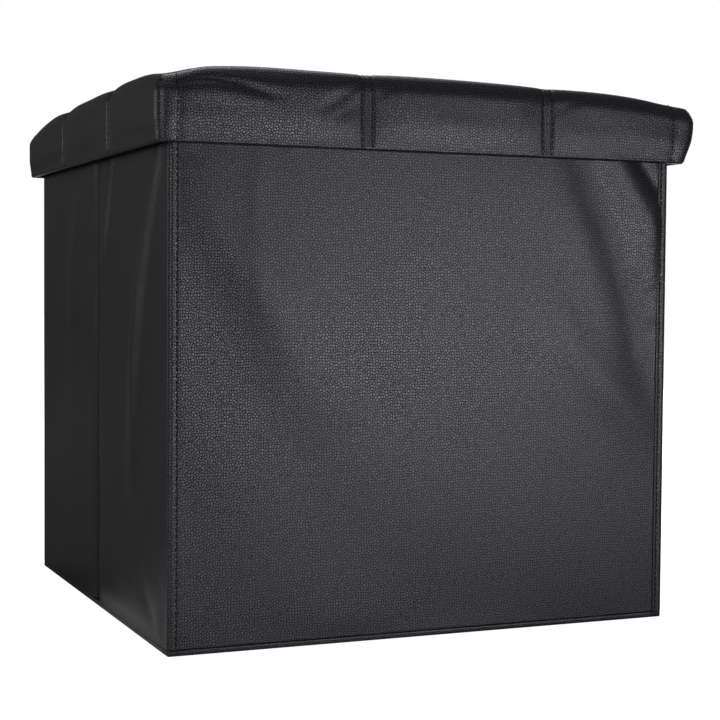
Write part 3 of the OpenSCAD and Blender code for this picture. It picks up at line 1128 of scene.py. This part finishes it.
def floor_shade(nodes, links, place):
    """The mirrored floor's brightness: it follows the product of the two plan directions."""
    way = nodes.new("ShaderNodeVectorMath")
    way.operation = "NORMALIZE"
    parts = nodes.new("ShaderNodeSeparateXYZ")
    product = math_node(nodes, "MULTIPLY")
    links.new(place, way.inputs[0])
    links.new(way.outputs["Vector"], parts.inputs["Vector"])
    links.new(parts.outputs["X"], product.inputs[0])
    links.new(parts.outputs["Y"], product.inputs[1])
    return map_range(nodes, links, product.outputs["Value"], SHADE_RANGE, FLOOR_SHADES)


def floor_glow(nodes, links, place):
    """The seen floor's own light, a little stronger far away, where it meets the backdrop."""
    far = nodes.new("ShaderNodeVectorMath")
    far.operation = "LENGTH"
    links.new(place, far.inputs[0])
    return map_range(nodes, links, far.outputs["Value"], GLOW_REACH, GLOW)


def seen_or_mirrored(nodes, links, seen, mirrored, target):
    """Send one shader to the camera's own rays and another to all other rays."""
    ray, mix = nodes.new("ShaderNodeLightPath"), nodes.new("ShaderNodeMixShader")
    links.new(ray.outputs["Is Camera Ray"], mix.inputs["Fac"])
    links.new(mirrored, mix.inputs[1])
    links.new(seen, mix.inputs[2])
    links.new(mix.outputs["Shader"], target)


def floor_material():
    """Pale and plain to the camera, shaded to the cloth."""
    paint = bpy.data.materials.new("floor_paint")
    paint.use_nodes = True
    nodes, links = paint.node_tree.nodes, paint.node_tree.links
    nodes.clear()
    place = nodes.new("ShaderNodeTexCoord").outputs["Object"]
    pale, dim = nodes.new("ShaderNodeBsdfDiffuse"), nodes.new("ShaderNodeBsdfDiffuse")
    pale.inputs["Color"].default_value = (0.85, 0.85, 0.85, 1)
    glow, both = nodes.new("ShaderNodeEmission"), nodes.new("ShaderNodeAddShader")
    links.new(floor_shade(nodes, links, place), dim.inputs["Color"])
    links.new(floor_glow(nodes, links, place), glow.inputs["Strength"])
    links.new(pale.outputs["BSDF"], both.inputs[0])
    links.new(glow.outputs["Emission"], both.inputs[1])
    output = nodes.new("ShaderNodeOutputMaterial")
    seen_or_mirrored(nodes, links, both.outputs["Shader"], dim.outputs["BSDF"], output.inputs["Surface"])
    return paint


corners = [(-REACH, -REACH, 0), (REACH, -REACH, 0), (REACH, REACH, 0), (-REACH, REACH, 0)]
floor_mesh = bpy.data.meshes.new("floor")
floor_mesh.from_pydata(corners, [], [(0, 1, 2, 3)])
floor_mesh.materials.append(floor_material())
floor = bpy.data.objects.new("floor", floor_mesh)
bpy.context.scene.collection.objects.link(floor)
floor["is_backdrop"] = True
print("floor made")

# %% Room and lights
ROOM_LIGHT = 0.10
MIDDLE = (0, 0, 0.2)
LIGHTS = [
    ("key", (0.60, -1.44, 0.18), 0.6, 0.2, 6.7),
    ("left", (-2.0, 1.15, 0.5), 0.6, 0.8, 5),
    ("front left", (-1.7, -1.9, 0.7), 0.8, 0.8, 13),
    ("behind", (1.6, 1.9, 0.8), 1.2, 1.2, 30),
    ("above", (0.1, 0.5, 2.6), 2.0, 2.0, 40),
]


def soft_light(name, place, width, height, power):
    """A rectangular area light at place, turned to the middle of the box."""
    lamp = bpy.data.lights.new(name, "AREA")
    lamp.shape = "RECTANGLE"
    lamp.size = width
    lamp.size_y = height
    lamp.energy = power
    light = bpy.data.objects.new(name, lamp)
    light.location = place
    light.rotation_euler = (Vector(MIDDLE) - Vector(place)).to_track_quat("-Z", "Y").to_euler()
    bpy.context.scene.collection.objects.link(light)


room = bpy.data.worlds.new("room")
room.use_nodes = True
nodes, links = room.node_tree.nodes, room.node_tree.links
dim_room, backdrop = nodes["Background"], nodes.new("ShaderNodeBackground")
for sky in (dim_room, backdrop):
    sky.inputs["Color"].default_value = (1, 1, 1, 1)
dim_room.inputs["Strength"].default_value = ROOM_LIGHT
target = nodes["World Output"].inputs["Surface"]
seen_or_mirrored(nodes, links, backdrop.outputs["Background"], dim_room.outputs["Background"], target)
bpy.context.scene.world = room
bpy.context.scene.view_settings.view_transform = "Standard"
for light in LIGHTS:
    soft_light(*light)
print("lights:", len(LIGHTS))

# %% Camera
LENS = 81.9
camera_data = bpy.data.cameras.new("camera")
camera_data.sensor_width = 36
camera_data.lens = LENS
camera = bpy.data.objects.new("camera", camera_data)
AZIMUTH, PITCH, ROLL = math.radians(-22.95), math.radians(2.5), math.radians(0.44)
ahead = Vector((-math.sin(AZIMUTH) * math.cos(PITCH), math.cos(AZIMUTH) * math.cos(PITCH), -math.sin(PITCH)))
right = ahead.cross(Vector((0, 0, 1))).normalized()
up = right.cross(ahead)
right, up = right * math.cos(ROLL) + up * math.sin(ROLL), up * math.cos(ROLL) - right * math.sin(ROLL)
place = Vector((-0.4658, -1.1580, 0.2305))
camera.matrix_world = Matrix.Translation(place) @ Matrix((right, up, -ahead)).transposed().to_4x4()
bpy.context.scene.collection.objects.link(camera)
bpy.context.scene.camera = camera

# %% Print the visual box, and finish
low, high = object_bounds()
print("visual box", tuple(low), tuple(high))
